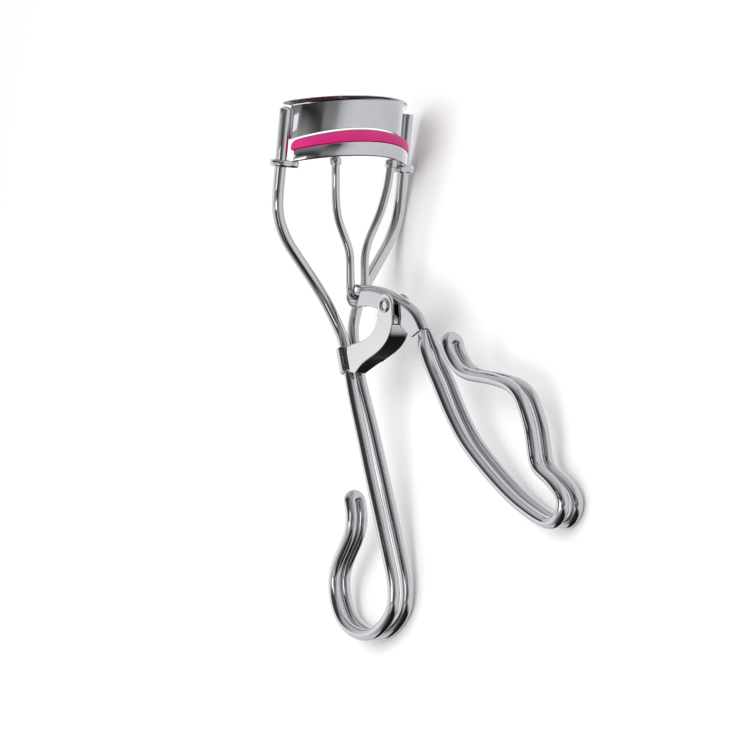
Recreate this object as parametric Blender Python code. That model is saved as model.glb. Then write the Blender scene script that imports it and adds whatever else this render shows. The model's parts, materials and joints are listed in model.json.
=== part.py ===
"""Eyelash curler, side-lever pattern, built as separate pieces.

All shape data is written in the tool's own frame, in millimetres:
  W  across the head, from one guide rod to the other (0 on the mid plane)
  D  outwards, the way the jaws bulge and the way the finger handle swings
  L  up, along the guide rods, towards the jaws
The tool is then laid on its side on the table: +D runs along +X, +L along
+Y, -W upwards, with a small tilt so that the wide head and the two finger
loops all touch the table.
"""
import math

import bmesh
import bpy
import numpy as np
from mathutils import Matrix, Vector

MM = 0.001

# ---------------------------------------------------------------- dimensions
WIRE_R = 1.13            # handle and guide wire radius
YOKE_R = 0.82            # yoke wire radius
SHEET = 0.60             # pressed sheet thickness

ROD_W = 14.6             # guide rod centre, half spacing
ROD_TOP_LEFT = 12.05     # domed end; the other rod is cropped flat
ROD_TOP_RIGHT = 12.62

ARC_C = -8.22            # D of the common centre of the jaw arcs
JAW_R = 17.27            # outer radius of the lower bar and of the pad
PLATE_R = 15.80          # outer radius of the fixed plate
PLATE_T = 0.75
JAW_END = math.radians(55.0)
BAR_END = math.radians(52.0)
PLATE_END = math.asin(13.40 / 15.80)
RIM_END = math.radians(64.0)           # the rolled rim runs on over the rod tops
RIM_LOW = 12.95

HINGE_D, HINGE_L = 19.65, -22.30       # lever pivot
LEVER_HALF = 1.15                      # lever: half width, and radius of its round back
LINK_IN, LINK_OUT = 1.65, 2.25         # link cheeks, inner and outer faces
CROSS_D, CROSS_L = 8.30, -21.95        # cross bar of the yoke

LIE_TILT = math.radians(9.344)  # tilt that brings head and loops down
LIE_AXIS = math.radians(30.62)  # direction of the line through the loops

# ---------------------------------------------------------------- clean start
for ob in list(bpy.data.objects):
    bpy.data.objects.remove(ob, do_unlink=True)


def to_table(w, d, l):
    """Tool frame in mm to an untilted lying frame in mm."""
    return Vector((d, l, -w))


def material(name, colour, metallic, rough):
    mat = bpy.data.materials.new(name)
    mat.use_nodes = True
    bsdf = mat.node_tree.nodes["Principled BSDF"]
    bsdf.inputs["Base Color"].default_value = (*colour, 1.0)
    bsdf.inputs["Metallic"].default_value = metallic
    bsdf.inputs["Roughness"].default_value = rough
    return mat


def finish(bm, name, mat):
    bmesh.ops.recalc_face_normals(bm, faces=bm.faces)
    me = bpy.data.meshes.new(name)
    bm.to_mesh(me)
    bm.free()
    ob = bpy.data.objects.new(name, me)
    bpy.context.scene.collection.objects.link(ob)
    if mat:
        me.materials.append(mat)
    return ob


# ---------------------------------------------------------------- curve maths
def spline(points, step):
    """Natural cubic spline through points (chord parameter), resampled."""
    p = np.array(points, float)
    chord = np.linalg.norm(np.diff(p, axis=0), axis=1)
    t = np.concatenate([[0.0], np.cumsum(chord)])
    n = len(t)
    a = np.zeros((n, n))
    rhs = np.zeros((n, p.shape[1]))
    a[0, 0] = a[-1, -1] = 1.0
    for i in range(1, n - 1):
        h0, h1 = t[i] - t[i - 1], t[i + 1] - t[i]
        a[i, i - 1], a[i, i], a[i, i + 1] = h0, 2 * (h0 + h1), h1
        rhs[i] = 6 * ((p[i + 1] - p[i]) / h1 - (p[i] - p[i - 1]) / h0)
    m = np.linalg.solve(a, rhs)

    def at(u):
        i = int(min(max(np.searchsorted(t, u) - 1, 0), n - 2))
        h = t[i + 1] - t[i]
        x0, x1 = t[i + 1] - u, u - t[i]
        return (m[i] * x0 ** 3 + m[i + 1] * x1 ** 3) / (6 * h) + (
            p[i] / h - m[i] * h / 6) * x0 + (p[i + 1] / h - m[i + 1] * h / 6) * x1

    fine = np.array([at(u) for u in np.linspace(0, t[-1], 1200)])
    return thin(fine, step)


def thin(fine, step):
    """Keep points where the path has turned enough or run far enough."""
    max_turn, max_run = step
    keep = [0]
    seg = np.diff(fine[:, :3], axis=0)
    seg_len = np.linalg.norm(seg, axis=1)
    dirs = seg / seg_len[:, None]
    run = turn = 0.0
    for i in range(1, len(fine) - 1):
        run += seg_len[i - 1]
        c = float(np.clip(np.dot(dirs[i - 1], dirs[i]), -1, 1))
        turn += math.acos(c)
        if turn > max_turn or run > max_run:
            keep.append(i)
            run = turn = 0.0
    keep.append(len(fine) - 1)
    return fine[keep]


def tube(name, path, radius, sides, mat, squash=None, dome=(False, False)):
    """Closed round wire along path (W, D, L in mm). squash scales the section
    along W, point by point, where the wire is pressed flat."""
    pts = [to_table(*p[:3]) for p in path]
    n = len(pts)
    tang = []
    for i in range(n):
        a, b = pts[max(i - 1, 0)], pts[min(i + 1, n - 1)]
        if 0 < i < n - 1:
            v = (pts[i] - pts[i - 1]).normalized() + (pts[i + 1] - pts[i]).normalized()
        else:
            v = b - a
        tang.append(v.normalized())
    ref = tang[0].orthogonal().normalized()
    bm = bmesh.new()
    rings = []
    across = to_table(1, 0, 0)

    def ring(centre, t, u, r, sq):
        v = t.cross(u).normalized()
        out = []
        for k in range(sides):
            ang = 2 * math.pi * (k + 0.5) / sides
            off = (u * math.cos(ang) + v * math.sin(ang)) * r
            if sq < 1.0:
                side = across - t * across.dot(t)
                if side.length > 1e-6:
                    side.normalize()
                    off -= side * off.dot(side) * (1.0 - sq)
            out.append(bm.verts.new((centre + off) * MM))
        return out

    u = ref
    for i in range(n):
        u = (u - tang[i] * u.dot(tang[i])).normalized()
        sq = 1.0 if squash is None else float(squash[i])
        if i == 0 and dome[0]:
            rings.append(ring(pts[0] - tang[0] * radius * 0.50, tang[0], u, radius * 0.50, sq))
            rings.append(ring(pts[0] - tang[0] * radius * 0.30, tang[0], u, radius * 0.84, sq))
        rings.append(ring(pts[i], tang[i], u, radius, sq))
        if i == n - 1 and dome[1]:
            rings.append(ring(pts[i] + tang[i] * radius * 0.30, tang[i], u, radius * 0.84, sq))
            rings.append(ring(pts[i] + tang[i] * radius * 0.50, tang[i], u, radius * 0.50, sq))
    for r0, r1 in zip(rings[:-1], rings[1:]):
        for k in range(sides):
            k2 = (k + 1) % sides
            bm.faces.new((r0[k], r0[k2], r1[k2], r1[k]))
    bm.faces.new(list(reversed(rings[0])))
    bm.faces.new(rings[-1])
    return finish(bm, name, mat)


def bulge(theta):
    """0 at the ends of the jaw, 1 in the middle."""
    return (math.cos(theta) - math.cos(JAW_END)) / (1 - math.cos(JAW_END))


def arc_sweep(name, section, end, steps, mat, beyond=()):
    """Closed solid: section(theta) gives (radius, level) corners in mm.
    beyond lists further angles past each end."""
    bm = bmesh.new()
    rings = []
    angles = [-a for a in reversed(beyond)]
    angles += [-end + 2 * end * i / steps for i in range(steps + 1)]
    angles += list(beyond)
    for th in angles:
        row = []
        for r, lev in section(th):
            row.append(bm.verts.new(to_table(r * math.sin(th), ARC_C + r * math.cos(th), lev) * MM))
        rings.append(row)
    m = len(rings[0])
    for a, b in zip(rings[:-1], rings[1:]):
        for k in range(m):
            k2 = (k + 1) % m
            bm.faces.new((a[k], a[k2], b[k2], b[k]))
    bm.faces.new(list(reversed(rings[0])))
    bm.faces.new(rings[-1])
    return finish(bm, name, mat)


def slab(name, outline, w0, w1, mat=None):
    """Plate lying in the D-L plane, outline in mm, between two W levels.
    w0 and w1 may be functions of D."""
    f0 = w0 if callable(w0) else (lambda d: w0)
    f1 = w1 if callable(w1) else (lambda d: w1)
    bm = bmesh.new()
    lo = [bm.verts.new(to_table(f0(d), d, l) * MM) for d, l in outline]
    hi = [bm.verts.new(to_table(f1(d), d, l) * MM) for d, l in outline]
    n = len(outline)
    for k in range(n):
        k2 = (k + 1) % n
        bm.faces.new((lo[k], lo[k2], hi[k2], hi[k]))
    bm.faces.new(list(reversed(lo)))
    bm.faces.new(hi)
    return finish(bm, name, mat)


def ribbon(name, path, normal_side, t, w_half, mat=None, far=None):
    """Bent strip: path in (D, L), thickness t to one side, half width w_half
    (number or function of the point index); far lists the +W side if it
    differs."""
    p = np.array(path, float)
    n = len(p)
    nor = []
    for i in range(n):
        a, b = p[max(i - 1, 0)], p[min(i + 1, n - 1)]
        d0 = (p[i] - p[i - 1]) if i > 0 else (p[1] - p[0])
        d1 = (p[i + 1] - p[i]) if i < n - 1 else (p[-1] - p[-2])
        d0 = d0 / np.linalg.norm(d0)
        d1 = d1 / np.linalg.norm(d1)
        s = d0 + d1
        s = s / np.linalg.norm(s)
        v = np.array([-s[1], s[0]]) * normal_side
        nor.append(v / max(0.5, float(np.dot(s, d1))))
    q = p + np.array(nor) * t
    bm = bmesh.new()
    rows = []
    for i in range(n):
        hw = w_half(i) if callable(w_half) else w_half
        fw = hw if far is None else far[i]
        rows.append([bm.verts.new(to_table(w, d, l) * MM) for w, (d, l) in (
            (-hw, p[i]), (fw, p[i]), (fw, q[i]), (-hw, q[i]))])
    for a, b in zip(rows[:-1], rows[1:]):
        for k in range(4):
            k2 = (k + 1) % 4
            bm.faces.new((a[k], a[k2], b[k2], b[k]))
    bm.faces.new(list(reversed(rows[0])))
    bm.faces.new(rows[-1])
    return finish(bm, name, mat)


def rod_along_w(name, d, l, r, w0, w1, sides, mat=None, rounds=None):
    """Turned piece on a W axis; rounds is a list of (w, r) from one end."""
    prof = rounds or [(w0, r), (w1, r)]
    bm = bmesh.new()
    rings = []
    for w, rr in prof:
        rings.append([bm.verts.new(to_table(w, d + rr * math.cos(2 * math.pi * (k + 0.5) / sides),
                                            l + rr * math.sin(2 * math.pi * (k + 0.5) / sides)) * MM)
                      for k in range(sides)])
    for a, b in zip(rings[:-1], rings[1:]):
        for k in range(sides):
            k2 = (k + 1) % sides
            bm.faces.new((a[k], a[k2], b[k2], b[k]))
    bm.faces.new(list(reversed(rings[0])))
    bm.faces.new(rings[-1])
    return finish(bm, name, mat)


def disc_along_l(name, w, d, outline, l0, l1, mat=None):
    """Flat tab normal to L; outline is a list of (W, D) corners."""
    bm = bmesh.new()
    lo = [bm.verts.new(to_table(ww, dd, l0) * MM) for ww, dd in outline]
    hi = [bm.verts.new(to_table(ww, dd, l1) * MM) for ww, dd in outline]
    n = len(outline)
    for k in range(n):
        k2 = (k + 1) % n
        bm.faces.new((lo[k], lo[k2], hi[k2], hi[k]))
    bm.faces.new(list(reversed(lo)))
    bm.faces.new(hi)
    return finish(bm, name, mat)


def combine(target, other, op):
    """Apply a Boolean and drop the helper body."""
    mod = target.modifiers.new(op.lower(), "BOOLEAN")
    mod.operation = op
    mod.solver = "EXACT"
    mod.object = other
    dg = bpy.context.evaluated_depsgraph_get()
    ev = target.evaluated_get(dg)
    me = bpy.data.meshes.new_from_object(ev)
    target.modifiers.clear()
    old = target.data
    target.data = me
    bpy.data.meshes.remove(old)
    bpy.data.objects.remove(other, do_unlink=True)
    return target


def circle(cw, cd, r, n, start=0.0):
    return [(cw + r * math.cos(start + 2 * math.pi * k / n), cd + r * math.sin(start + 2 * math.pi * k / n))
            for k in range(n)]


chrome_wire = material("chrome_wire", (0.80, 0.80, 0.82), 1.0, 0.08)
chrome_yoke = material("chrome_yoke", (0.79, 0.79, 0.81), 1.0, 0.10)
chrome_handle = material("chrome_handle", (0.80, 0.80, 0.83), 1.0, 0.07)
chrome_plate = material("chrome_plate", (0.78, 0.78, 0.81), 1.0, 0.06)
chrome_bar = material("chrome_bar", (0.77, 0.77, 0.80), 1.0, 0.07)
chrome_link = material("chrome_link", (0.79, 0.79, 0.80), 1.0, 0.12)
chrome_lever = material("chrome_lever", (0.78, 0.78, 0.80), 1.0, 0.12)
chrome_rivet = material("chrome_rivet", (0.76, 0.76, 0.78), 1.0, 0.10)
chrome_ferrule_a = material("chrome_ferrule_a", (0.74, 0.74, 0.76), 1.0, 0.14)
chrome_ferrule_b = material("chrome_ferrule_b", (0.74, 0.74, 0.76), 1.0, 0.14)
pad_pink = material("pad_pink", (0.60, 0.035, 0.21), 0.0, 0.42)

# ---------------------------------------------------------------- frame wire
# One wire: guide rod, converging run, clamp, thumb handle, loop, hook, and
# back again on the other side.
FRAME_HALF = [
    (ROD_W, 0.0, 9.0), (ROD_W, 0.0, 4.0), (ROD_W, 0.0, 0.0), (ROD_W, 0.0, -4.6),
    (14.42, 0.04, -6.6), (13.95, 0.20, -8.6), (13.05, 0.46, -10.8), (11.80, 0.85, -13.0),
    (10.50, 1.22, -14.7), (8.18, 1.96, -17.6), (5.93, 2.72, -20.5), (3.98, 3.72, -23.5),
    (2.50, 4.80, -26.5), (1.62, 5.80, -28.8), (1.20, 6.98, -31.0), (1.15, 7.72, -32.6),
    (1.15, 9.00, -35.35), (1.17, 10.15, -37.80), (1.33, 12.02, -41.3), (1.45, 13.98, -44.8),
    (1.50, 15.92, -48.3), (1.55, 17.82, -51.87), (1.60, 19.72, -55.37), (1.60, 23.53, -62.35),
    (1.60, 27.25, -69.3), (1.57, 28.92, -72.8), (1.55, 29.45, -74.6), (1.55, 29.68, -76.45),
    (1.55, 29.42, -78.4), (1.54, 28.50, -80.15), (1.52, 26.70, -82.15), (1.50, 24.85, -83.52),
    (1.48, 22.90, -84.36), (1.45, 20.60, -84.70), (1.42, 17.50, -84.40), (1.38, 14.75, -83.25),
    (1.35, 13.05, -81.70), (1.31, 11.80, -79.85), (1.28, 11.05, -78.00), (1.26, 10.72, -76.10),
    (1.25, 10.85, -74.15), (1.25, 11.50, -72.1), (1.25, 12.55, -70.0), (1.25, 13.60, -67.9),
    (1.25, 14.25, -65.85), (1.25, 14.32, -63.9), (1.25, 13.90, -62.05), (1.25, 13.30, -60.6),
]
HOOK_R = 1.25


def wire_loop(half, hook_r, along, step):
    """Half path, turn round the hook end, and back."""
    pts = spline(half, step)
    end = pts[-1]
    back = np.array([0.0, along[0], along[1]])
    arc = []
    for k in range(1, 8):
        a = math.pi * k / 8
        arc.append(np.array([hook_r * math.cos(a), end[1], end[2]]) + back * hook_r * math.sin(a))
    mirrored = pts[::-1].copy()
    mirrored[:, 0] *= -1
    return np.vstack([pts, arc, mirrored])


hook_dir = np.array([-0.36, 0.93])
frame_path = wire_loop(FRAME_HALF, HOOK_R, hook_dir, (math.radians(9.0), 16.0))
frame_path[0] = (ROD_W, 0.0, ROD_TOP_RIGHT)
frame_path[-1] = (-ROD_W, 0.0, ROD_TOP_LEFT)
frame_wire = tube("frame_wire", frame_path, WIRE_R, 12, chrome_wire, dome=(False, True))

# ---------------------------------------------------------------- fixed plate
def plate_section(th):
    b = bulge(th)
    top = 14.15 + 1.95 * b
    low = 6.47 + 3.19 * b + 0.30
    r, t = PLATE_R, PLATE_T
    over = (abs(th) - PLATE_END) / (RIM_END - PLATE_END)
    if over > 0:
        top -= 0.25 * over
    section = [
        (r, low + 0.25), (r, top - 1.25), (r + 0.10, top - 0.80), (r + 0.32, top - 0.42),
        (r + 0.62, top - 0.18), (r + 0.62, top + 0.02), (r + 0.30, top), (r - 0.15, top - 0.12),
        (r - 0.50, top - 0.50), (r - t, top - 1.10), (r - t, low + 0.25), (r - t + 0.22, low),
        (r - 0.22, low),
    ]
    if over > 0.02:
        # past the rod only the rim is left
        level = RIM_LOW + 0.3
        section = [(rr, lev if lev > level else RIM_LOW + 0.3 * (lev - low) / (level - low))
                   for rr, lev in section]
    return section


upper_jaw_plate = arc_sweep("upper_jaw_plate", plate_section, PLATE_END, 26, chrome_plate,
                            beyond=(PLATE_END + math.radians(0.3), math.radians(60.2),
                                    math.radians(62.2), RIM_END))

# ---------------------------------------------------------------- lower bar
BAR_IN = 14.05


def bar_section(th):
    b = bulge(th)
    low = 2.18 + 2.52 * b
    lip = 4.48 + 2.98 * b
    o, i, t = JAW_R, BAR_IN, 0.55
    return [
        (o, low + 0.25), (o, lip), (o - t, lip), (o - t, low + 0.70), (i + t, low + 0.70),
        (i + t, lip - 0.3), (i, lip - 0.3), (i, low + 0.25), (i + 0.25, low), (o - 0.25, low),
    ]


lower_jaw_bar = arc_sweep("lower_jaw_bar", bar_section, BAR_END, 24, chrome_bar)
for side in (-1, 1):
    # flat eared end that rides on the guide rod
    ear = [(side * x, y) for x, y in (
        (11.20, -0.35), (12.60, -1.55), (13.60, -2.05), (14.60, -2.20), (15.60, -1.95),
        (16.40, -1.20), (16.72, -0.10), (16.50, 0.95), (15.80, 1.80), (14.80, 2.15),
        (13.90, 2.15), (13.00, 2.50), (12.10, 2.60))]
    ear_ob = disc_along_l("ear", 0, 0, ear, 1.28, 2.62)
    combine(lower_jaw_bar, ear_ob, "UNION")
    hole = disc_along_l("hole", 0, 0, circle(side * ROD_W, 0.0, WIRE_R + 0.34, 20), 0.0, 4.4)
    combine(lower_jaw_bar, hole, "DIFFERENCE")

# ---------------------------------------------------------------- pad
def pad_section(th):
    b = bulge(th)
    low = 2.18 + 2.52 * b + 0.76
    lip = 4.48 + 2.98 * b + 0.06
    top = 6.47 + 3.19 * b
    o, i, t = JAW_R, BAR_IN, 0.55
    # ends of the pad are rounded down
    edge = min(1.0, (JAW_END - abs(th)) / math.radians(3.2))
    top = lip + 0.75 + (top - lip - 0.75) * math.sqrt(max(0.0, 1 - (1 - edge) ** 2))
    if abs(th) > BAR_END - 0.002:
        low = lip - 0.12
    return [
        (o - t - 0.06, low), (o - t - 0.06, lip), (o + 0.02, lip + 0.08), (o + 0.06, (lip + top) / 2),
        (o - 0.08, top - 0.35), (o - 0.42, top - 0.06), (15.6, top), (i + 0.42, top - 0.06),
        (i + 0.08, top - 0.38), (i + 0.02, (lip + top) / 2), (i + 0.10, lip + 0.08),
        (i + t + 0.06, lip), (i + t + 0.06, low),
    ]


jaw_pad = arc_sweep("jaw_pad", pad_section, JAW_END - 0.012, 30, pad_pink)

# ---------------------------------------------------------------- yoke
YOKE_HALF = [
    (6.62, 6.30, 3.95), (6.55, 6.42, 2.5), (6.42, 6.50, 1.0), (6.26, 6.52, -0.5), (6.07, 6.48, -2.0),
    (5.82, 6.40, -3.5), (5.50, 6.33, -5.0), (5.06, 6.28, -6.5), (4.47, 6.28, -8.0),
    (3.74, 6.37, -9.5), (2.98, 6.56, -11.0), (2.32, 6.82, -12.5), (1.90, 7.06, -14.0),
    (1.73, 7.28, -15.5), (1.70, 7.52, -17.0), (1.70, 7.78, -18.5), (1.70, 8.02, -19.9),
    (1.68, 8.17, -20.7), (1.50, 8.26, -21.4), (1.12, 8.30, -21.82), (0.65, CROSS_D, CROSS_L),
]
yk = spline(YOKE_HALF, (math.radians(10.0), 6.0))
yk_m = yk[::-1].copy()
yk_m[:, 0] *= -1
yoke_wire = tube("yoke_wire", np.vstack([yk, yk_m]), YOKE_R, 10, chrome_yoke)

for side, tag, mat in ((-1, "left", chrome_ferrule_a), (1, "right", chrome_ferrule_b)):
    # short sleeve where the prong meets the bar
    axis = [(side * 6.615, 6.33, 3.90), (side * 6.56, 6.41, 2.60)]
    ferr = tube("yoke_ferrule_" + tag, axis, YOKE_R + 0.30, 14, mat)
    core_axis = [(side * 6.66, 6.27, 4.60), (side * 6.515, 6.475, 1.90)]
    core = tube("core", core_axis, YOKE_R + 0.08, 14, None)
    combine(ferr, core, "DIFFERENCE")

# ---------------------------------------------------------------- link
COL_T = np.array([0.4220, -0.9066])           # down the clamped wires (D, L)
COL_N = np.array([0.9066, 0.4220])            # outwards from them
COL_0 = np.array([7.42, -31.95])
COL_LEN = 4.95
link_curve_in = [(9.2, -31.6), (11.0, -30.75), (13.2, -29.95), (15.4, -28.90), (16.9, -27.50),
                 (17.6, -26.00), (17.75, -24.60)]
boss = []
for k in range(0, 13):
    a = math.radians(218 - k * 17.5)
    boss.append((HINGE_D + 2.25 * math.cos(a), HINGE_L + 2.25 * math.sin(a)))
link_curve_out = [(22.35, -23.8), (22.45, -25.2), (22.15, -26.9), (21.40, -28.6), (20.15, -30.1),
                  (18.60, -31.35), (16.80, -32.5), (15.10, -33.6)]
near_foot = [(13.70, -34.85), (12.55, -36.2), (10.4, -36.1)]
far_foot = [(13.60, -34.05), (12.00, -34.35), (10.2, -34.60)]
link_bracket = slab("link_bracket", link_curve_in + boss + link_curve_out + near_foot,
                    -LINK_OUT, -LINK_IN, chrome_link)
cheek_b = slab("cheek_b", link_curve_in + boss + link_curve_out + far_foot, LINK_IN, LINK_OUT)

# outer web joining the cheeks below the lever
web_path = [(22.43, -25.45), (22.15, -26.9), (21.40, -28.6), (20.15, -30.1), (18.60, -31.35),
            (16.80, -32.5), (15.10, -33.6), (13.70, -34.85), (12.55, -36.2)]
web_far = [LINK_OUT - 0.12] * 6 + [1.85, 1.05, 0.45]
web = ribbon("web", web_path, -1, SHEET, LINK_OUT - 0.12, far=web_far)

# clamp sleeve round the two wires
def twin(half_w, r, n=10):
    """Outline in (W, N) of two overlapping circles on the wire centres."""
    out = []
    phi = math.pi - math.acos(half_w / r)
    for side, mid in ((1, 0.0), (-1, math.pi)):
        for k in range(n + 1):
            if side < 0 and k in (0, n):
                continue
            a = mid - phi + 2 * phi * k / n
            out.append((side * half_w + r * math.cos(a), r * math.sin(a)))
    return out


def prism_on_wires(name, section, s0, s1):
    bm = bmesh.new()
    rings = []
    for s in (s0, s1):
        row = []
        for w, nn in section:
            d, l = COL_0 + COL_T * s + COL_N * nn
            row.append(bm.verts.new(to_table(w, d, l) * MM))
        rings.append(row)
    m = len(rings[0])
    for k in range(m):
        k2 = (k + 1) % m
        bm.faces.new((rings[0][k], rings[0][k2], rings[1][k2], rings[1][k]))
    bm.faces.new(list(reversed(rings[0])))
    bm.faces.new(rings[1])
    return finish(bm, name, None)


sleeve = prism_on_wires("sleeve", twin(1.16, WIRE_R + 0.12 + SHEET), 0.0, COL_LEN)
bore = prism_on_wires("bore", twin(1.16, WIRE_R + 0.12), -3.0, COL_LEN + 3.0)
combine(link_bracket, cheek_b, "UNION")
combine(link_bracket, web, "UNION")
combine(link_bracket, sleeve, "UNION")
combine(link_bracket, bore, "DIFFERENCE")
pin_hole = rod_along_w("pin_hole", HINGE_D, HINGE_L, 1.00, -4, 4, 18)
combine(link_bracket, pin_hole, "DIFFERENCE")

# ---------------------------------------------------------------- lever
LEVER_TOP = [(10.2, -19.62), (12.2, -19.38), (14.3, -19.28), (16.0, -19.32), (17.6, -19.48),
             (19.3, -19.76), (21.0, -20.12), (22.7, -20.54), (24.2, -20.93), (25.5, -21.35),
             (26.7, -21.92), (27.8, -22.62), (28.8, -23.50), (29.7, -24.46), (30.3, -25.22)]
LEVER_LOW = [(27.10, -27.34), (25.60, -26.70), (24.20, -26.05), (22.80, -25.35), (21.40, -24.80),
             (20.00, -24.40), (18.60, -24.00), (17.00, -23.58), (15.20, -23.33), (13.40, -23.28),
             (11.20, -23.48), (9.70, -23.84)]


def offset_in(path, dist):
    """Points moved square off a (D, L) path, to its right-hand side."""
    p = np.array(path, float)
    seg = np.diff(p, axis=0)
    seg /= np.linalg.norm(seg, axis=1)[:, None]
    tang = np.vstack([seg[:1], seg[:-1] + seg[1:], seg[-1:]])
    tang /= np.linalg.norm(tang, axis=1)[:, None]
    return p + np.column_stack([tang[:, 1], -tang[:, 0]]) * dist


def trough(name, path, radius, t, steps, mat=None):
    """Half-round sheet whose crest follows a (D, L) path."""
    inward = offset_in(path, 1.0) - np.array(path, float)
    bm = bmesh.new()
    rows = []
    for (d, l), (nd, nl) in zip(path, inward):
        row = []
        for k in range(steps + 1):
            a = -math.pi / 2 + math.pi * k / steps
            row.append((radius * math.sin(a), radius * (1 - math.cos(a))))
        for k in range(steps + 1):
            a = math.pi / 2 - math.pi * k / steps
            row.append(((radius - t) * math.sin(a), t + (radius - t) * (1 - math.cos(a))))
        rows.append([bm.verts.new(to_table(w, d + nd * s, l + nl * s) * MM) for w, s in row])
    m = len(rows[0])
    for a, b in zip(rows[:-1], rows[1:]):
        for k in range(m):
            k2 = (k + 1) % m
            bm.faces.new((a[k], a[k2], b[k2], b[k]))
    bm.faces.new(list(reversed(rows[0])))
    bm.faces.new(rows[-1])
    return finish(bm, name, mat)


cheek_top = [tuple(q) for q in offset_in(LEVER_TOP, LEVER_HALF - 0.12)][:-1]
cheek = cheek_top + LEVER_LOW
lever_bracket = slab("lever_bracket", cheek, -LEVER_HALF + 0.01, -LEVER_HALF + SHEET - 0.01, chrome_lever)
cheek2 = slab("cheek2", cheek, LEVER_HALF - SHEET + 0.01, LEVER_HALF - 0.01)
lever_web = trough("lever_web", LEVER_TOP, LEVER_HALF, SHEET, 12)
# curled tongue that carries the cross bar of the yoke
JC = (7.62, -21.93)
J_R = 2.25
tongue_path = [(12.2, -19.46), (10.45, -19.68), (9.2, -19.70)]
for k in range(0, 11):
    a = math.radians(90 + 18.0 * k)
    tongue_path.append((JC[0] + J_R * math.cos(a), JC[1] + J_R * math.sin(a)))
tongue_path += [(8.6, -24.20), (9.35, -24.05)]
tongue = ribbon("tongue", tongue_path, 1, SHEET, 0.58)
combine(lever_bracket, cheek2, "UNION")
combine(lever_bracket, lever_web, "UNION")
combine(lever_bracket, tongue, "UNION")
pin_hole2 = rod_along_w("pin_hole2", HINGE_D, HINGE_L, 1.02, -4, 4, 18)
combine(lever_bracket, pin_hole2, "DIFFERENCE")

# ---------------------------------------------------------------- lever wire
LEVER_HALF_PATH = [
    (0.62, 29.60, -26.20), (0.80, 30.22, -26.98), (1.10, 30.97, -27.88), (1.38, 31.82, -28.88), (1.45, 33.17, -30.72), (1.52, 36.20, -34.02), (1.48, 39.05, -37.34),
    (1.45, 42.15, -40.60), (1.45, 45.65, -43.68), (1.47, 50.40, -46.72), (1.50, 55.70, -49.55),
    (1.53, 61.60, -52.20), (1.56, 66.90, -53.88), (1.58, 70.20, -54.58), (1.58, 72.35, -54.52),
    (1.58, 73.85, -53.72), (1.58, 74.80, -52.30), (1.58, 75.10, -50.80), (1.57, 74.55, -49.50),
    (1.55, 73.25, -48.38), (1.52, 70.80, -47.02), (1.50, 68.95, -46.30), (1.50, 67.30, -45.50),
    (1.50, 66.15, -44.25), (1.50, 65.45, -42.50), (1.50, 64.84, -40.78), (1.50, 64.15, -39.08),
    (1.50, 63.20, -37.40), (1.50, 62.10, -35.75), (1.48, 60.75, -34.10), (1.47, 58.95, -32.72),
    (1.45, 56.65, -31.95), (1.43, 54.00, -31.68), (1.42, 51.20, -31.62), (1.41, 48.30, -31.70),
    (1.40, 45.30, -31.72), (1.38, 42.45, -31.10), (1.36, 40.45, -29.85), (1.35, 39.30, -28.80),
    (1.35, 38.55, -27.95), (1.35, 38.10, -27.15),
]
lever_path = wire_loop(LEVER_HALF_PATH, 1.35, np.array([-0.30, 0.954]), (math.radians(9.0), 16.0))
press = []
for w, d, l in lever_path:
    u = 1.0
    if d < 33.0 and l > -30.0:
        u = min(1.0, max(0.0, (d - 29.6) / 2.0))
        u = u * u * (3 - 2 * u)
    press.append(0.50 + 0.50 * u)
lever_handle_wire = tube("lever_handle_wire", lever_path, WIRE_R, 12, chrome_handle, squash=press)

# ---------------------------------------------------------------- rivet
hs = LINK_OUT + 0.05
pivot_rivet = rod_along_w("pivot_rivet", HINGE_D, HINGE_L, 0.0, 0, 0, 18, chrome_rivet, rounds=[
    (-hs - 0.34, 1.02), (-hs - 0.28, 1.24), (-hs - 0.10, 1.42), (-hs, 1.44), (-hs, 0.84),
    (hs, 0.84), (hs, 1.44), (hs + 0.10, 1.42), (hs + 0.28, 1.24), (hs + 0.34, 1.02)])

# ---------------------------------------------------------------- lay it down
tilt = Matrix.Rotation(LIE_TILT, 4, Vector((math.cos(LIE_AXIS), math.sin(LIE_AXIS), 0.0)))
parts = [ob for ob in bpy.context.scene.objects if ob.type == "MESH"]
for ob in parts:
    ob.data.transform(tilt)
lo = np.array([1e9] * 3)
hi = -lo
for ob in parts:
    co = np.empty(len(ob.data.vertices) * 3)
    ob.data.vertices.foreach_get("co", co)
    co = co.reshape(-1, 3)
    lo = np.minimum(lo, co.min(axis=0))
    hi = np.maximum(hi, co.max(axis=0))
shift = Vector((-(lo[0] + hi[0]) / 2, -(lo[1] + hi[1]) / 2, -lo[2]))
lay = Matrix.Translation(shift) @ tilt
hinge_at = lay @ (to_table(0, HINGE_D, HINGE_L) * MM)
slide_at = lay @ (to_table(0, 0, 2.25) * MM)
for ob in parts:
    ob.data.transform(Matrix.Translation(shift))
    pivot = None
    if ob.name in ("lever_bracket", "lever_handle_wire"):
        pivot = hinge_at
    elif ob.name in ("lower_jaw_bar", "jaw_pad", "yoke_wire", "yoke_ferrule_left", "yoke_ferrule_right"):
        pivot = slide_at
    if pivot is not None:
        ob.data.transform(Matrix.Translation(-pivot))
        ob.location = pivot
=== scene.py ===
"""Looks for the eyelash curler: fine meshes, materials, floor, light, camera."""

import math

import bmesh
import bpy
import json
import numpy as np
from mathutils import Matrix, Vector


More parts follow.
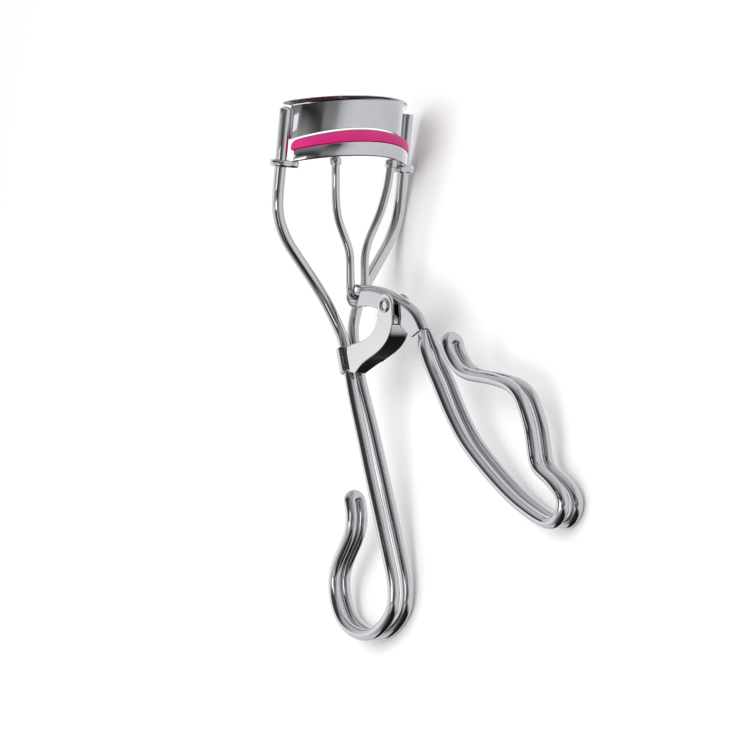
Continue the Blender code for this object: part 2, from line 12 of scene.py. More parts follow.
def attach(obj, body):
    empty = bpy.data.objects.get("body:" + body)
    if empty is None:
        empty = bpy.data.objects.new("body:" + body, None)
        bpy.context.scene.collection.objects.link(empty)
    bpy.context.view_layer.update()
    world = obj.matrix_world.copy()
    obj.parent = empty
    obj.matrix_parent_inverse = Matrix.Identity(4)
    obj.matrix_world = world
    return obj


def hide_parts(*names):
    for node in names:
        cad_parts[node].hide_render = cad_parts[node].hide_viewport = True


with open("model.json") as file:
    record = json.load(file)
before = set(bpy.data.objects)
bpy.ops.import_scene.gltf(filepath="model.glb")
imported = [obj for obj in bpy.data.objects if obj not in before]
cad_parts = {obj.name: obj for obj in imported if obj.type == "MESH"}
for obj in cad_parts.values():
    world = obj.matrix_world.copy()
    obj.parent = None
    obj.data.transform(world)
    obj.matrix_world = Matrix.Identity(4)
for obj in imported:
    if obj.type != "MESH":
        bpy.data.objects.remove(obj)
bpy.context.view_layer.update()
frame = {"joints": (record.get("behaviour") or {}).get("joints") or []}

MM = 0.001

# ------------------------------------------------------------------ placement
# The tool frame is W across the head, D outwards, L up the guide rods, in mm.
LIE_TILT = math.radians(9.344)
LIE_AXIS = math.radians(30.62)
LAY = np.array(Matrix.Rotation(LIE_TILT, 3, Vector((math.cos(LIE_AXIS), math.sin(LIE_AXIS), 0.0))))
HINGE_D, HINGE_L = 19.65, -22.30
hinge_world = [j for j in frame["joints"] if j["name"] == "lever_hinge"][0]["pos_m"]
SHIFT = np.array(hinge_world) - LAY @ (np.array([HINGE_D, HINGE_L, 0.0]) * MM)


def place(points):
    """(W, D, L) rows in mm to world metres."""
    p = np.asarray(points, float).reshape(-1, 3)
    q = np.column_stack([p[:, 1], p[:, 2], -p[:, 0]]) * MM
    return q @ LAY.T + SHIFT


def turn(vec):
    w, d, l = vec
    return LAY @ np.array([d, l, -w], float)


W_DIR, D_DIR, L_DIR = turn((1, 0, 0)), turn((0, 1, 0)), turn((0, 0, 1))

# ------------------------------------------------------------------ dimensions
WIRE_R = 1.13
YOKE_R = 0.82
SHEET = 0.60
ROD_W = 14.6
ROD_TOP_LEFT = 12.03
ROD_TOP_RIGHT = 12.48
ARC_C = -8.22
JAW_R = 17.27
PLATE_R = 15.80
PLATE_T = 0.75
JAW_END = math.radians(55.0)
BAR_END = math.radians(52.0)
PLATE_END = math.asin(13.40 / 15.80)
RIM_END = math.radians(64.0)
RIM_LOW = 12.95
LEVER_HALF = 1.15
LINK_IN, LINK_OUT = 1.65, 2.25
CROSS_D, CROSS_L = 8.30, -21.95
BAR_IN = 14.05


# ------------------------------------------------------------------ mesh tools
def mesh_object(name, verts, faces, mat, smooth=True):
    me = bpy.data.meshes.new(name)
    me.from_pydata([tuple(v) for v in verts], [], [tuple(f) for f in faces])
    me.update()
    bm = bmesh.new()
    bm.from_mesh(me)
    bmesh.ops.recalc_face_normals(bm, faces=bm.faces)
    bm.to_mesh(me)
    bm.free()
    if smooth:
        me.shade_smooth()
    ob = bpy.data.objects.new(name, me)
    bpy.context.scene.collection.objects.link(ob)
    if mat:
        me.materials.append(mat)
    return ob


def spline_fine(points, count=4000):
    """Natural cubic spline through points (chord parameter)."""
    p = np.array(points, float)
    chord = np.linalg.norm(np.diff(p[:, :3], axis=0), axis=1)
    t = np.concatenate([[0.0], np.cumsum(chord)])
    n = len(t)
    a = np.zeros((n, n))
    rhs = np.zeros((n, p.shape[1]))
    a[0, 0] = a[-1, -1] = 1.0
    for i in range(1, n - 1):
        h0, h1 = t[i] - t[i - 1], t[i + 1] - t[i]
        a[i, i - 1], a[i, i], a[i, i + 1] = h0, 2 * (h0 + h1), h1
        rhs[i] = 6 * ((p[i + 1] - p[i]) / h1 - (p[i] - p[i - 1]) / h0)
    m = np.linalg.solve(a, rhs)
    u = np.linspace(0, t[-1], count)
    i = np.clip(np.searchsorted(t, u) - 1, 0, n - 2)
    h = (t[i + 1] - t[i])[:, None]
    x0, x1 = (t[i + 1] - u)[:, None], (u - t[i])[:, None]
    return (m[i] * x0 ** 3 + m[i + 1] * x1 ** 3) / (6 * h) + (
        p[i] / h - m[i] * h / 6) * x0 + (p[i + 1] / h - m[i + 1] * h / 6) * x1


def relax(path, passes):
    """Evens out the curvature of a fine path, ends kept."""
    q = path.copy()
    for _ in range(passes):
        q[1:-1] = 0.25 * q[:-2] + 0.5 * q[1:-1] + 0.25 * q[2:]
    return q


def resample(path, max_turn, max_run, min_run=0.12):
    seg = np.diff(path[:, :3], axis=0)
    length = np.linalg.norm(seg, axis=1)
    dirs = seg / length[:, None]
    keep = [0]
    run = turned = 0.0
    for i in range(1, len(path) - 1):
        run += length[i - 1]
        turned += math.acos(float(np.clip(np.dot(dirs[i - 1], dirs[i]), -1, 1)))
        if (turned > max_turn and run > min_run) or run > max_run:
            keep.append(i)
            run = turned = 0.0
    keep.append(len(path) - 1)
    return path[keep]


def tube(name, path, radius, sides, mat, squash=None, ends=((), ())):
    """Round wire along a fine (W, D, L) path in mm. ends lists, for the start
    and the end, (distance beyond the end, radius share) rings."""
    p = np.asarray(path, float)[:, :3]
    n = len(p)
    seg = np.diff(p, axis=0)
    seg /= np.linalg.norm(seg, axis=1)[:, None]
    tang = np.vstack([seg[:1], seg[:-1] + seg[1:], seg[-1:]])
    tang /= np.linalg.norm(tang, axis=1)[:, None]
    u = np.cross(tang[0], [0.0, 0.3, 1.0])
    u /= np.linalg.norm(u)
    centres, rads, frames, sq = [], [], [], []
    first = tang[0]
    uu = u
    across = np.array([1.0, 0.0, 0.0])
    for i in range(n):
        uu = uu - tang[i] * np.dot(uu, tang[i])
        uu /= np.linalg.norm(uu)
        s = 1.0 if squash is None else float(squash[i])
        if i == 0:
            for dist, share in reversed(ends[0]):
                centres.append(p[0] - first * dist), rads.append(radius * share)
                frames.append((tang[0], uu)), sq.append(s)
        centres.append(p[i]), rads.append(radius), frames.append((tang[i], uu)), sq.append(s)
        if i == n - 1:
            for dist, share in ends[1]:
                centres.append(p[-1] + tang[-1] * dist), rads.append(radius * share)
                frames.append((tang[-1], uu)), sq.append(s)
    verts, faces = [], []
    ang = 2 * math.pi * np.arange(sides) / sides
    for c, r, (t, a), s in zip(centres, rads, frames, sq):
        b = np.cross(t, a)
        off = (np.cos(ang)[:, None] * a + np.sin(ang)[:, None] * b) * r
        if s < 1.0:
            side = across - t * np.dot(across, t)
            side /= np.linalg.norm(side)
            off = off - np.outer(off @ side, side) * (1.0 - s)
        verts.append(c + off)
    rings = len(centres)
    for i in range(rings - 1):
        for k in range(sides):
            k2 = (k + 1) % sides
            faces.append((i * sides + k, i * sides + k2, (i + 1) * sides + k2, (i + 1) * sides + k))
    verts = np.vstack(verts)
    verts = np.vstack([verts, centres[0], centres[-1]])
    v0, v1 = len(verts) - 2, len(verts) - 1
    for k in range(sides):
        k2 = (k + 1) % sides
        faces.append((v0, k2, k))
        base = (rings - 1) * sides
        faces.append((v1, base + k, base + k2))
    return mesh_object(name, place(verts), faces, mat)


DOME = [(WIRE_R * 0.56 * math.sin(a), math.cos(a)) for a in np.linspace(0.12, 1.50, 9)]
CROP = [(0.035, 0.995), (0.09, 0.965), (0.125, 0.92), (0.135, 0.86), (0.135, 0.4)]


def fillet(points, radii, n=5):
    """Rounds the corners of a closed polygon. radii: one for each corner."""
    p = np.array(points, float)
    out = []
    m = len(p)
    for i in range(m):
        r = radii[i] if hasattr(radii, "__len__") else radii
        a, b, c = p[i - 1], p[i], p[(i + 1) % m]
        d0, d1 = a - b, c - b
        l0, l1 = np.linalg.norm(d0), np.linalg.norm(d1)
        d0, d1 = d0 / l0, d1 / l1
        half = math.acos(float(np.clip(np.dot(d0, d1), -1, 1))) / 2
        if r <= 0 or half > math.pi / 2 - 0.03:
            out.append(b)
            continue
        cut = min(r / math.tan(half), 0.48 * l0, 0.48 * l1)
        rr = cut * math.tan(half)
        centre = b + (d0 + d1) / np.linalg.norm(d0 + d1) * (rr / math.sin(half))
        s, e = b + d0 * cut - centre, b + d1 * cut - centre
        a0, a1 = math.atan2(s[1], s[0]), math.atan2(e[1], e[0])
        da = (a1 - a0 + math.pi) % (2 * math.pi) - math.pi
        for k in range(n + 1):
            ang = a0 + da * k / n
            out.append(centre + rr * np.array([math.cos(ang), math.sin(ang)]))
    return np.array(out)


def inset(poly, d):
    """Polygon moved inwards by d (small)."""
    p = np.asarray(poly, float)
    prev, nxt = np.roll(p, 1, axis=0), np.roll(p, -1, axis=0)
    e0, e1 = p - prev, nxt - p
    e0 /= np.maximum(np.linalg.norm(e0, axis=1), 1e-9)[:, None]
    e1 /= np.maximum(np.linalg.norm(e1, axis=1), 1e-9)[:, None]
    area = 0.5 * np.sum(p[:, 0] * nxt[:, 1] - nxt[:, 0] * p[:, 1])
    sgn = 1.0 if area > 0 else -1.0
    n0 = np.column_stack([-e0[:, 1], e0[:, 0]]) * sgn
    n1 = np.column_stack([-e1[:, 1], e1[:, 0]]) * sgn
    nn = n0 + n1
    nn /= np.maximum(np.linalg.norm(nn, axis=1), 1e-9)[:, None]
    return p + nn * d


def rings_object(name, rings, mat, smooth=True):
    """Closed solid through equal rings of (W, D, L) points in mm."""
    m = len(rings[0])
    verts = np.vstack(rings)
    faces = []
    for i in range(len(rings) - 1):
        for k in range(m):
            k2 = (k + 1) % m
            faces.append((i * m + k, i * m + k2, (i + 1) * m + k2, (i + 1) * m + k))
    faces.append(tuple(reversed(range(m))))
    base = (len(rings) - 1) * m
    faces.append(tuple(range(base, base + m)))
    return mesh_object(name, place(verts), faces, mat, smooth)


def bulge(theta):
    return (math.cos(theta) - math.cos(JAW_END)) / (1 - math.cos(JAW_END))


def arc_rings(section, end, steps, edge=0.10, beyond=None):
    """Rings of an arc sweep with softened ends. beyond: (angle where the section changes, steps past it); its step
    count is not used."""
    def at(th, poly):
        return np.array([(r * math.sin(th), ARC_C + r * math.cos(th), lev) for r, lev in poly])
    rings = []
    da = edge / 16.0
    for th, d in ((-end, edge), (-end + da * 0.3, edge * 0.3), (-end + da, 0.0)):
        rings.append(at(th, inset(section(th), d) if d else section(th)))
    angles = list(np.linspace(-end + da, end - da, steps + 1)[1:-1])
    if beyond:
        step, n = beyond
        angles = [a for a in angles if abs(abs(a) - step) > 0.006] + [
            sgn * (step + k) for sgn in (-1, 1) for k in (-0.0045, -0.0015, 0.0015, 0.004)]
    for th in sorted(angles):
        rings.append(at(th, section(th)))
    for th, d in ((end - da, 0.0), (end - da * 0.3, edge * 0.3), (end, edge)):
        rings.append(at(th, inset(section(th), d) if d else section(th)))
    return rings


def slab_rings(outline, w0, w1, edge=0.10):
    """Plate in the D-L plane between two W levels, edges eased."""
    out = np.asarray(outline, float)
    rings = []
    s = 1 if w1 > w0 else -1
    for w, d in ((w0, edge), (w0 + s * edge * 0.3, edge * 0.3), (w0 + s * edge, 0.0),
                 (w1 - s * edge, 0.0), (w1 - s * edge * 0.3, edge * 0.3), (w1, edge)):
        q = inset(out, d) if d else out
        rings.append(np.column_stack([np.full(len(q), w), q]))
    return rings


def combine(target, other, op):
    mod = target.modifiers.new(op.lower(), "BOOLEAN")
    mod.operation = op
    mod.solver = "EXACT"
    mod.object = other
    dg = bpy.context.evaluated_depsgraph_get()
    me = bpy.data.meshes.new_from_object(target.evaluated_get(dg))
    target.modifiers.clear()
    old = target.data
    target.data = me
    bpy.data.meshes.remove(old)
    bpy.data.objects.remove(other, do_unlink=True)
    return target


def fuse(target, others, voxel, passes, mat):
    """Fuses overlapping closed bodies into one skin with eased corners."""
    bm = bmesh.new()
    for ob in [target] + others:
        bm.from_mesh(ob.data)
    me = bpy.data.meshes.new(target.name)
    # work at 1 unit = 1 mm so that the grid is well scaled
    bm.transform(Matrix.Scale(1000.0, 4))
    bm.to_mesh(me)
    bm.free()
    old = target.data
    target.data = me
    bpy.data.meshes.remove(old)
    for ob in others:
        bpy.data.objects.remove(ob, do_unlink=True)
    rm = target.modifiers.new("fuse", "REMESH")
    rm.mode = "VOXEL"
    rm.voxel_size = voxel
    rm.adaptivity = 0.0
    sm = target.modifiers.new("ease", "SMOOTH")
    sm.factor = 0.5
    sm.iterations = passes
    dg = bpy.context.evaluated_depsgraph_get()
    out = bpy.data.meshes.new_from_object(target.evaluated_get(dg))
    target.modifiers.clear()
    out.transform(Matrix.Scale(0.001, 4))
    out.shade_smooth()
    out.materials.clear()
    out.materials.append(mat)
    worked = target.data
    target.data = out
    bpy.data.meshes.remove(worked)
    return target


# ------------------------------------------------------------------ materials
def node_tree(name):
    mat = bpy.data.materials.new(name)
    mat.use_nodes = True
    nt = mat.node_tree
    return mat, nt, nt.nodes["Principled BSDF"]


def math_node(nt, op, a, b=None, clamp=False):
    n = nt.nodes.new("ShaderNodeMath")
    n.operation = op
    n.use_clamp = clamp
    for k, v in enumerate((a, b)):
        if v is None:
            continue
        if isinstance(v, (int, float)):
            n.inputs[k].default_value = v
        else:
            nt.links.new(v, n.inputs[k])
    return n.outputs[0]


def chrome(name, tint, rough, seed, scratch=0.5, along=None):
    """Bright chrome: faint tone change, fine polishing marks, a few hairline
    scratches and softly uneven plating."""
    mat, nt, bsdf = node_tree(name)
    co = nt.nodes.new("ShaderNodeTexCoord").outputs["Object"]
    mp = nt.nodes.new("ShaderNodeMapping")
    mp.inputs["Location"].default_value = (seed * 0.013, seed * 0.007, seed * 0.019)
    nt.links.new(co, mp.inputs["Vector"])
    vec = mp.outputs[0]
    cloud = nt.nodes.new("ShaderNodeTexNoise")
    cloud.inputs["Scale"].default_value = 180.0
    cloud.inputs["Detail"].default_value = 3.0
    nt.links.new(vec, cloud.inputs["Vector"])
    grain = nt.nodes.new("ShaderNodeTexNoise")
    grain.inputs["Scale"].default_value = 2600.0
    grain.inputs["Detail"].default_value = 4.0
    nt.links.new(vec, grain.inputs["Vector"])
    # hairlines: noise stretched along one direction
    mp2 = nt.nodes.new("ShaderNodeMapping")
    mp2.inputs["Rotation"].default_value = along or (0.4, 0.2, 0.7)
    mp2.inputs["Scale"].default_value = (5200.0, 90.0, 5200.0)
    nt.links.new(co, mp2.inputs["Vector"])
    hair = nt.nodes.new("ShaderNodeTexNoise")
    hair.inputs["Scale"].default_value = 1.0
    hair.inputs["Detail"].default_value = 2.0
    nt.links.new(mp2.outputs[0], hair.inputs["Vector"])
    line = math_node(nt, "MULTIPLY", math_node(nt, "SUBTRACT", hair.outputs["Fac"], 0.66, True), 3.0, True)
    tone = nt.nodes.new("ShaderNodeValToRGB")
    tone.color_ramp.elements[0].position = 0.30
    tone.color_ramp.elements[0].color = (tint[0] * 0.955, tint[1] * 0.955, tint[2] * 0.965, 1)
    tone.color_ramp.elements[1].position = 0.72
    tone.color_ramp.elements[1].color = (*tint, 1)
    nt.links.new(cloud.outputs["Fac"], tone.inputs["Fac"])
    nt.links.new(tone.outputs["Color"], bsdf.inputs["Base Color"])
    r = math_node(nt, "ADD", math_node(nt, "MULTIPLY", grain.outputs["Fac"], 0.035), rough - 0.017)
    r = math_node(nt, "ADD", r, math_node(nt, "MULTIPLY", line, 0.16 * scratch))
    r = math_node(nt, "ADD", r, math_node(nt, "MULTIPLY", math_node(nt, "SUBTRACT", cloud.outputs["Fac"], 0.5), 0.05))
    nt.links.new(math_node(nt, "MAXIMUM", r, 0.015), bsdf.inputs["Roughness"])
    height = math_node(nt, "ADD", math_node(nt, "MULTIPLY", grain.outputs["Fac"], 0.25),
                       math_node(nt, "MULTIPLY", line, -0.8 * scratch))
    bump = nt.nodes.new("ShaderNodeBump")
    bump.inputs["Strength"].default_value = 0.10
    bump.inputs["Distance"].default_value = 0.00001
    nt.links.new(height, bump.inputs["Height"])
    nt.links.new(bump.outputs["Normal"], bsdf.inputs["Normal"])
    bsdf.inputs["Metallic"].default_value = 1.0
    return mat


def silicone(name):
    mat, nt, bsdf = node_tree(name)
    co = nt.nodes.new("ShaderNodeTexCoord").outputs["Object"]
    cloud = nt.nodes.new("ShaderNodeTexNoise")
    cloud.inputs["Scale"].default_value = 260.0
    cloud.inputs["Detail"].default_value = 4.0
    nt.links.new(co, cloud.inputs["Vector"])
    fine = nt.nodes.new("ShaderNodeTexNoise")
    fine.inputs["Scale"].default_value = 4200.0
    fine.inputs["Detail"].default_value = 3.0
    nt.links.new(co, fine.inputs["Vector"])
    tone = nt.nodes.new("ShaderNodeValToRGB")
    tone.color_ramp.elements[0].position = 0.28
    tone.color_ramp.elements[0].color = (0.59, 0.018, 0.175, 1)
    tone.color_ramp.elements[1].position = 0.74
    tone.color_ramp.elements[1].color = (0.665, 0.025, 0.215, 1)
    nt.links.new(cloud.outputs["Fac"], tone.inputs["Fac"])
    nt.links.new(tone.outputs["Color"], bsdf.inputs["Base Color"])
    r = math_node(nt, "ADD", math_node(nt, "MULTIPLY", fine.outputs["Fac"], 0.20), 0.36)
    nt.links.new(r, bsdf.inputs["Roughness"])
    bsdf.inputs["Subsurface Weight"].default_value = 0.18
    bsdf.inputs["Subsurface Radius"].default_value = (0.0012, 0.0004, 0.0005)
    bsdf.inputs["Subsurface Scale"].default_value = 0.6
    bsdf.inputs["IOR"].default_value = 1.38
    bump = nt.nodes.new("ShaderNodeBump")
    bump.inputs["Strength"].default_value = 0.22
    bump.inputs["Distance"].default_value = 0.00002
    nt.links.new(fine.outputs["Fac"], bump.inputs["Height"])
    nt.links.new(bump.outputs["Normal"], bsdf.inputs["Normal"])
    return mat


m_wire = chrome("wire_chrome", (0.62, 0.62, 0.635), 0.032, 1, 0.5)
m_yoke = chrome("yoke_chrome", (0.61, 0.61, 0.625), 0.04, 2, 0.5)
m_handle = chrome("handle_chrome", (0.62, 0.62, 0.64), 0.032, 3, 0.6)
m_plate = chrome("plate_chrome", (0.61, 0.61, 0.63), 0.035, 4, 0.35)
m_bar = chrome("bar_chrome", (0.61, 0.61, 0.63), 0.045, 5, 0.4)
m_link = chrome("link_chrome", (0.62, 0.62, 0.63), 0.06, 6, 0.7)
m_lever = chrome("lever_chrome", (0.55, 0.55, 0.565), 0.06, 7, 0.7)
m_rivet = chrome("rivet_chrome", (0.60, 0.60, 0.61), 0.06, 8, 0.6)
m_ferrule = chrome("ferrule_chrome", (0.60, 0.60, 0.61), 0.07, 9, 0.6)
m_pad = silicone("pad_silicone")

# ------------------------------------------------------------------ wires
FRAME_HALF = [
    (ROD_W, 0.0, 9.0), (ROD_W, 0.0, 4.0), (ROD_W, 0.0, 0.0), (ROD_W, 0.0, -4.6),
    (14.42, 0.04, -6.6), (13.95, 0.20, -8.6), (13.05, 0.46, -10.8), (11.80, 0.85, -13.0),
    (10.50, 1.22, -14.7), (8.18, 1.96, -17.6), (5.93, 2.72, -20.5), (3.98, 3.72, -23.5),
    (2.50, 4.80, -26.5), (1.62, 5.80, -28.8), (1.20, 6.98, -31.0), (1.15, 7.72, -32.6),
    (1.15, 9.00, -35.35), (1.17, 10.15, -37.80), (1.33, 12.02, -41.3), (1.45, 13.98, -44.8),
    (1.50, 15.92, -48.3), (1.55, 17.82, -51.87), (1.60, 19.72, -55.37), (1.60, 23.53, -62.35),
    (1.60, 27.25, -69.3), (1.57, 28.92, -72.8), (1.55, 29.45, -74.6), (1.55, 29.68, -76.45),
    (1.55, 29.42, -78.4), (1.54, 28.50, -80.15), (1.52, 26.70, -82.15), (1.50, 24.85, -83.52),
    (1.48, 22.90, -84.36), (1.45, 20.60, -84.70), (1.42, 17.50, -84.40), (1.38, 14.75, -83.25),
    (1.35, 13.05, -81.70), (1.31, 11.80, -79.85), (1.28, 11.05, -78.00), (1.26, 10.72, -76.10),
    (1.25, 10.85, -74.15), (1.25, 11.50, -72.1), (1.25, 12.55, -70.0), (1.25, 13.60, -67.9),
    (1.25, 14.25, -65.85), (1.25, 14.32, -63.9), (1.25, 13.90, -62.05), (1.25, 13.30, -60.6),
]


def doubled(half, hook_r, along, smooth_passes):
    """Half path, round the hook end and back on the other side, made fine."""
    pts = relax(spline_fine(half), smooth_passes)
    end = pts[-1]
    hook_r = end[0]
    back = np.array([0.0, along[0], along[1]])
    arc = []
    for a in np.linspace(0, math.pi, 60)[1:-1]:
        arc.append(np.array([hook_r * math.cos(a), end[1], end[2]]) + back * hook_r * math.sin(a))
    mirrored = pts[::-1].copy()
    mirrored[:, 0] *= -1
    return np.vstack([pts, arc, mirrored])


fine = doubled(FRAME_HALF, 1.25, (-0.36, 0.93), 500)
top_r = np.array([[ROD_W, 0.0, l] for l in np.linspace(ROD_TOP_RIGHT, 9.3, 4)])
top_l = np.array([[-ROD_W, 0.0, l] for l in np.linspace(9.3, ROD_TOP_LEFT, 4)])
path = np.vstack([top_r, resample(fine, math.radians(2.6), 1.6), top_l])
wire = tube("guide_and_thumb_wire", path, WIRE_R, 40, m_wire, ends=(CROP, DOME))
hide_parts("frame_wire")
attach(wire, "frame")

LEVER_HALF_PATH = [
    (0.62, 29.60, -26.20), (0.80, 30.22, -26.98), (1.10, 30.97, -27.88), (1.38, 31.82, -28.88), (1.45, 33.17, -30.72), (1.52, 36.20, -34.02), (1.48, 39.05, -37.34),
    (1.45, 42.15, -40.60), (1.45, 45.65, -43.68), (1.47, 50.40, -46.72), (1.50, 55.70, -49.55),
    (1.53, 61.60, -52.20), (1.56, 66.90, -53.88), (1.58, 70.20, -54.58), (1.58, 72.35, -54.52),
    (1.58, 73.85, -53.72), (1.58, 74.80, -52.30), (1.58, 75.10, -50.80), (1.57, 74.55, -49.50),
    (1.55, 73.25, -48.38), (1.52, 70.80, -47.02), (1.50, 68.95, -46.30), (1.50, 67.30, -45.50),
    (1.50, 66.15, -44.25), (1.50, 65.45, -42.50), (1.50, 64.84, -40.78), (1.50, 64.15, -39.08),
    (1.50, 63.20, -37.40), (1.50, 62.10, -35.75), (1.48, 60.75, -34.10), (1.47, 58.95, -32.72),
    (1.45, 56.65, -31.95), (1.43, 54.00, -31.68), (1.42, 51.20, -31.62), (1.41, 48.30, -31.70),
    (1.40, 45.30, -31.72), (1.38, 42.45, -31.10), (1.36, 40.45, -29.85), (1.35, 39.30, -28.80),
    (1.35, 38.55, -27.95), (1.35, 38.10, -27.15),
]
lever_path = resample(doubled(LEVER_HALF_PATH, 1.35, (-0.30, 0.954), 500), math.radians(2.6), 1.6)
press = []
for w, d, l in lever_path:
    u = 1.0
    if d < 33.0 and l > -30.0:
        u = min(1.0, max(0.0, (d - 29.6) / 2.0))
        u = u * u * (3 - 2 * u)
    press.append(0.50 + 0.50 * u)
ob = tube("finger_handle_wire", lever_path, WIRE_R, 40, m_handle, squash=press, ends=(CROP, CROP))
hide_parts("lever_handle_wire")
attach(ob, "lever")

YOKE_HALF = [
    (6.62, 6.30, 3.95), (6.55, 6.42, 2.5), (6.42, 6.50, 1.0), (6.26, 6.52, -0.5), (6.07, 6.48, -2.0),
    (5.82, 6.40, -3.5), (5.50, 6.33, -5.0), (5.06, 6.28, -6.5), (4.47, 6.28, -8.0),
    (3.74, 6.37, -9.5), (2.98, 6.56, -11.0), (2.32, 6.82, -12.5), (1.90, 7.06, -14.0),
    (1.73, 7.28, -15.5), (1.70, 7.52, -17.0), (1.70, 7.78, -18.5), (1.70, 8.02, -19.9),
    (1.68, 8.17, -20.7), (1.50, 8.26, -21.4), (1.12, 8.30, -21.82), (0.65, CROSS_D, CROSS_L),
]
yk = relax(spline_fine(YOKE_HALF), 300)
yk_m = yk[::-1].copy()
yk_m[:, 0] *= -1
yoke_path = resample(np.vstack([yk, yk_m]), math.radians(3.0), 1.0)
ob = tube("yoke_bent_wire", yoke_path, YOKE_R, 36, m_yoke, ends=(CROP[:4], CROP[:4]))
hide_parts("yoke_wire")
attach(ob, "lower_jaw")


def lathe(name, start, end, profile, sides, mat):
    """Turned piece: profile is (share along start-end, radius) in mm."""
    s, e = np.array(start, float), np.array(end, float)
    t = e - s
    length = np.linalg.norm(t)
    t /= length
    a = np.cross(t, [0.0, 1.0, 0.2])
    a /= np.linalg.norm(a)
    b = np.cross(t, a)
    ang = 2 * math.pi * np.arange(sides) / sides
    rings = []
    for h, r in profile:
        rings.append(s + t * h + (np.cos(ang)[:, None] * a + np.sin(ang)[:, None] * b) * r)
    return rings_object(name, rings, mat)


def shell(name, start, end, profile, sides, mat):
    """Turned ring: profile is a closed loop of (distance, radius)."""
    s, e = np.array(start, float), np.array(end, float)
    t = (e - s) / np.linalg.norm(e - s)
    a = np.cross(t, [0.0, 1.0, 0.2])
    a /= np.linalg.norm(a)
    b = np.cross(t, a)
    verts, faces = [], []
    m = len(profile)
    for k in range(sides):
        ang = 2 * math.pi * k / sides
        rad = math.cos(ang) * a + math.sin(ang) * b
        for h, r in profile:
            verts.append(s + t * h + rad * r)
    for k in range(sides):
        k2 = (k + 1) % sides
        for i in range(m):
            i2 = (i + 1) % m
            faces.append((k * m + i, k * m + i2, k2 * m + i2, k2 * m + i))
    return mesh_object(name, place(verts), faces, mat)


for side, tag, slot in ((-1, "left", "chrome_ferrule_a"), (1, "right", "chrome_ferrule_b")):
    axis = [(side * 6.615, 6.33, 3.90), (side * 6.56, 6.41, 2.60)]
    prof = fillet([(0.0, YOKE_R + 0.08), (0.0, YOKE_R + 0.30), (1.30, YOKE_R + 0.30), (1.30, YOKE_R + 0.08)],
                  [0.02, 0.14, 0.14, 0.02], 4)
    ob = shell("ferrule_" + tag, axis[0], axis[1], prof, 32, m_ferrule)
    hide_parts("yoke_ferrule_" + tag)
    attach(ob, "lower_jaw")


# ------------------------------------------------------------------ jaws
def plate_section(th):
    b = bulge(th)
    top = 14.15 + 1.95 * b
    low = 6.47 + 3.19 * b + 0.30
    r, t = PLATE_R, PLATE_T
    over = (abs(th) - PLATE_END) / (RIM_END - PLATE_END)
    if over > 0:
        top -= 0.25 * over
    poly = fillet([
        (r, low), (r, top - 0.95), (r + 0.18, top - 0.46), (r + 0.62, top - 0.16), (r + 0.62, top + 0.02),
        (r - 0.05, top - 0.02), (r - 0.52, top - 0.50), (r - t, top - 1.10), (r - t, low)],
        [0.09, 0.9, 0.5, 0.09, 0.09, 0.5, 0.6, 0.5, 0.09], 6)
    if over > 0:
        # past the rod only the rim is left
        level = RIM_LOW + 0.3
        share = min(1.0, over * 6 * math.pi / 180 / 0.003)
        gone = poly[:, 1] < level
        cut = RIM_LOW + 0.3 * (poly[:, 1] - low) / (level - low)
        poly[gone, 1] = poly[gone, 1] * (1 - share) + cut[gone] * share
    return poly


ob = rings_object("arched_plate", arc_rings(plate_section, RIM_END, 120, 0.10, (PLATE_END, 4)), m_plate)
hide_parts("upper_jaw_plate")
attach(ob, "frame")


def bar_section(th):
    b = bulge(th)
    low = 2.18 + 2.52 * b
    lip = 4.48 + 2.98 * b
    o, i, t = JAW_R, BAR_IN, 0.55
    return fillet([
        (o, low), (o, lip), (o - t, lip), (o - t, low + 0.70), (i + t, low + 0.70),
        (i + t, lip - 0.3), (i, lip - 0.3), (i, low)],
        [0.30, 0.13, 0.13, 0.12, 0.12, 0.13, 0.13, 0.30], 4)


bar = rings_object("channel_bar", arc_rings(bar_section, BAR_END, 110), m_bar)
for side in (-1, 1):
    ear = fillet([(side * x, y) for x, y in (
        (11.20, -0.35), (12.60, -1.55), (13.60, -2.05), (14.60, -2.20), (15.60, -1.95),
        (16.40, -1.20), (16.72, -0.10), (16.50, 0.95), (15.80, 1.80), (14.80, 2.15),
        (13.90, 2.15), (13.00, 2.50), (12.10, 2.60))], 2.0, 4)
    rings = []
    for l, d in ((1.30, 0.45), (1.33, 0.28), (1.42, 0.13), (1.60, 0.04), (1.85, 0.0), (2.35, 0.0),
                 (2.50, 0.04), (2.58, 0.12), (2.61, 0.25)):
        q = inset(ear, d) if d else ear
        rings.append(np.column_stack([q, np.full(len(q), l)]))
    ear_ob = rings_object("ear", rings, m_bar)
    combine(bar, ear_ob, "UNION")
    hole = lathe("hole", (side * ROD_W, 0, 0.6), (side * ROD_W, 0, 4.2), [(0, WIRE_R + 0.34), (3.6, WIRE_R + 0.34)], 40, m_bar)
    combine(bar, hole, "DIFFERENCE")
bar.data.shade_smooth()
bar.data.set_sharp_from_angle(angle=math.radians(38))
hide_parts("lower_jaw_bar")
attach(bar, "lower_jaw")


